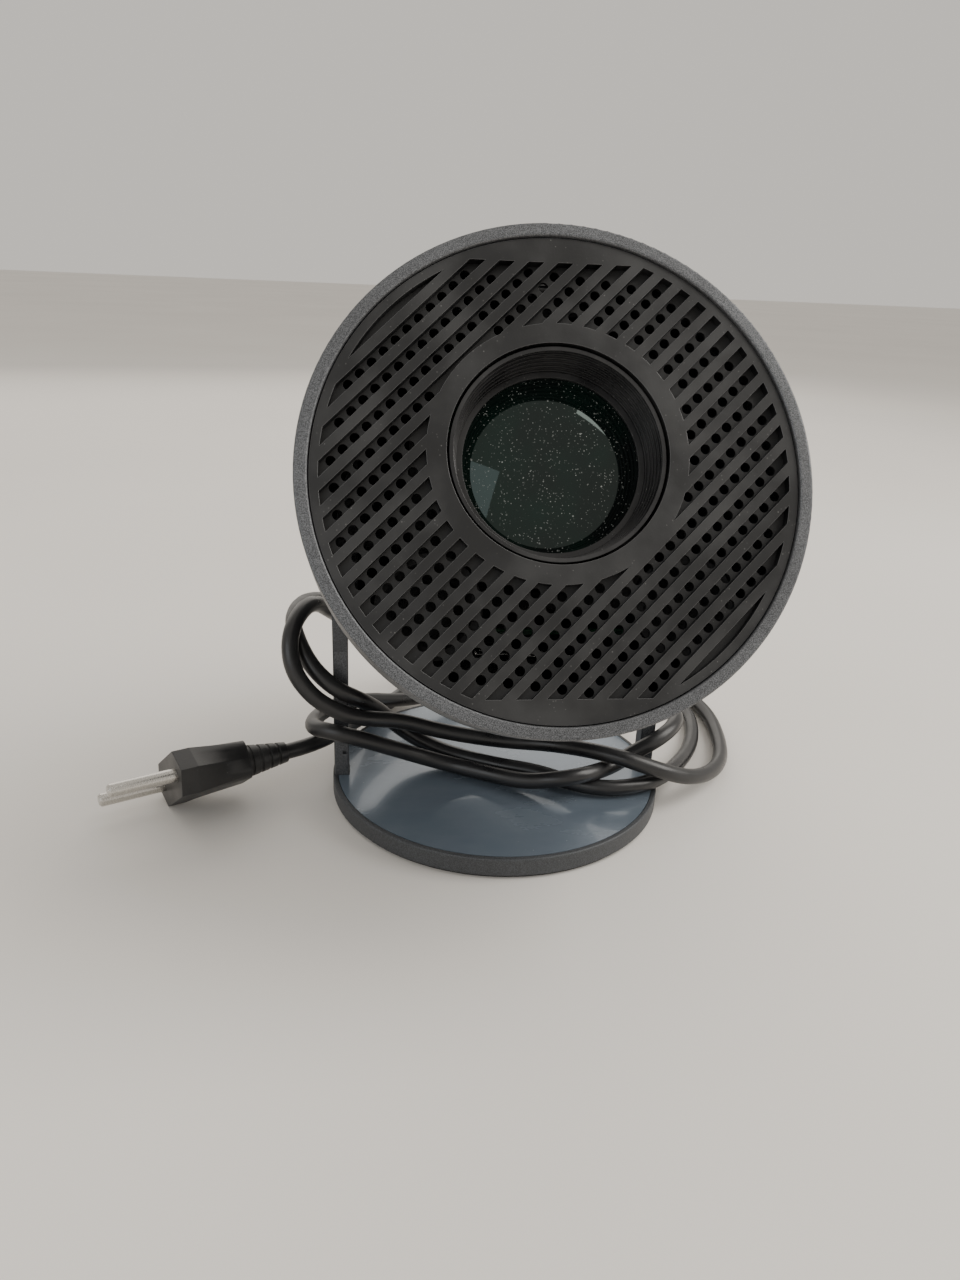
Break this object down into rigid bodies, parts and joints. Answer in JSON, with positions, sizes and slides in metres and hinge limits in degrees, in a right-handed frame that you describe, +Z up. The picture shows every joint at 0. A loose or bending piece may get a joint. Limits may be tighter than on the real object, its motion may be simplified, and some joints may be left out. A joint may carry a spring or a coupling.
{
  "type": "home projector",
  "caption": "Small drum-shaped home projector that tilts between two thin arms on a round disc base, with a slanted-slat front around its lens and a mains lead wound round the stand.",
  "frame": {"origin": "centre of the foot pad's underside, on the surface the projector stands on, below the tilt axis", "axes": "+Z up, -Y the way the lens faces, +X along the tilt axis towards the viewer's right as seen from the front"},
  "size_m": [0.2083, 0.2008, 0.1661],
  "materials": {
    "base_gloss": "gloss",
    "base_side": "satin",
    "arm_grey": "satin",
    "steel": "brushed",
    "dark_steel": "satin",
    "weight_iron": "rough",
    "foot_rubber": "matte",
    "shell_grey": "fine speckle",
    "rim_grey": "metallic speckle",
    "black_gloss": "gloss",
    "black_plastic": "matte",
    "perforated_black": "satin",
    "button_grey": "satin",
    "lens_glass": "coated",
    "fresnel_plastic": "clear",
    "lcd": "gloss",
    "board_green": "satin",
    "chip_black": "satin",
    "heatsink_aluminium": "satin",
    "ir_red": "gloss",
    "connector_steel": "polished",
    "pin_brass": "polished",
    "cord_black": "satin",
    "plug_black": "satin",
    "speaker_cone": "matte"
  },
  "bodies": {
    "stand": {"base_disc": "base_side", "top_plate": "base_gloss", "base_weight": "weight_iron", "foot_pad": "foot_rubber", "arm_screws": "steel", "left_arm": "arm_grey", "right_arm": "arm_grey", "left_pivot_bolt": "steel", "right_pivot_bolt": "steel", "left_pivot_cap": "arm_grey", "right_pivot_cap": "arm_grey", "left_friction_washer": "black_plastic", "right_friction_washer": "black_plastic", "power_cord": "cord_black", "plug_body": "plug_black", "plug_pins": "pin_brass", "plug_relief": "plug_black", "cord_connector": "plug_black"},
    "head": {"main_shell": "shell_grey", "front_ring": "rim_grey", "front_grille": "black_gloss", "perforated_plate": "perforated_black", "rear_cover": "shell_grey", "cover_screws": "dark_steel", "ac_inlet": "black_plastic", "inlet_pins": "pin_brass", "hdmi_port": "connector_steel", "usb_port": "connector_steel", "av_jack": "black_plastic", "ir_window": "ir_red", "lens_sleeve": "black_plastic", "focus_bracket": "black_plastic", "button_strip": "black_gloss", "button_board": "board_green", "light_engine": "black_plastic", "lcd_panel": "lcd", "front_fresnel_lens": "fresnel_plastic", "rear_fresnel_lens": "fresnel_plastic", "led_module": "board_green", "heatsink": "heatsink_aluminium", "fan_frame": "black_plastic", "mainboard": "board_green", "board_chips": "chip_black", "power_board": "board_green", "left_speaker": "speaker_cone", "right_speaker": "speaker_cone"},
    "lens": {"lens_barrel": "black_plastic", "front_lens": "lens_glass", "rear_lens": "lens_glass", "lens_retainer": "black_plastic", "lens_spacer": "black_plastic", "focus_rack": "black_plastic"},
    "focus_wheel": {"focus_wheel": "button_grey"},
    "fan": {"fan_rotor": "black_plastic"},
    "power_button": {"power_button": "button_grey"},
    "volume_down_button": {"volume_down_button": "button_grey"},
    "volume_up_button": {"volume_up_button": "button_grey"},
    "menu_button": {"menu_button": "button_grey"}
  },
  "joints": [
    {"name": "tilt", "type": "hinge", "parent": "stand", "child": "head", "pos_m": [0, 0, 0.08], "axis": [-1, 0, 0], "range_deg": [-27, 63]},
    {"name": "lens_slide", "type": "slide", "parent": "head", "child": "lens", "axis": [0, -0.891, 0.454], "range_m": [-0.002, 0.002]},
    {"name": "focus_wheel_turn", "type": "hinge", "parent": "head", "child": "focus_wheel", "pos_m": [0, -0.02448, 0.14208], "axis": [1, 0, 0], "range_deg": [-28.7, 28.7]},
    {"name": "fan_spin", "type": "hinge", "parent": "head", "child": "fan", "pos_m": [0, 0.02542, 0.07042], "axis": [0, -0.891, 0.454], "continuous": true},
    {"name": "power_press", "type": "slide", "parent": "head", "child": "power_button", "axis": [0, -0.5368, -0.8437], "range_m": [0, 0.0008], "stiffness_N_per_m": 400},
    {"name": "volume_down_press", "type": "slide", "parent": "head", "child": "volume_down_button", "axis": [0, -0.5368, -0.8437], "range_m": [0, 0.0008], "stiffness_N_per_m": 400},
    {"name": "volume_up_press", "type": "slide", "parent": "head", "child": "volume_up_button", "axis": [0, -0.5368, -0.8437], "range_m": [0, 0.0008], "stiffness_N_per_m": 400},
    {"name": "menu_press", "type": "slide", "parent": "head", "child": "menu_button", "axis": [0, -0.5368, -0.8437], "range_m": [0, 0.0008], "stiffness_N_per_m": 400}
  ],
  "couplings": [
    {"joint": "focus_wheel_turn", "follows": "lens_slide", "rad_per_m": -250}
  ]
}
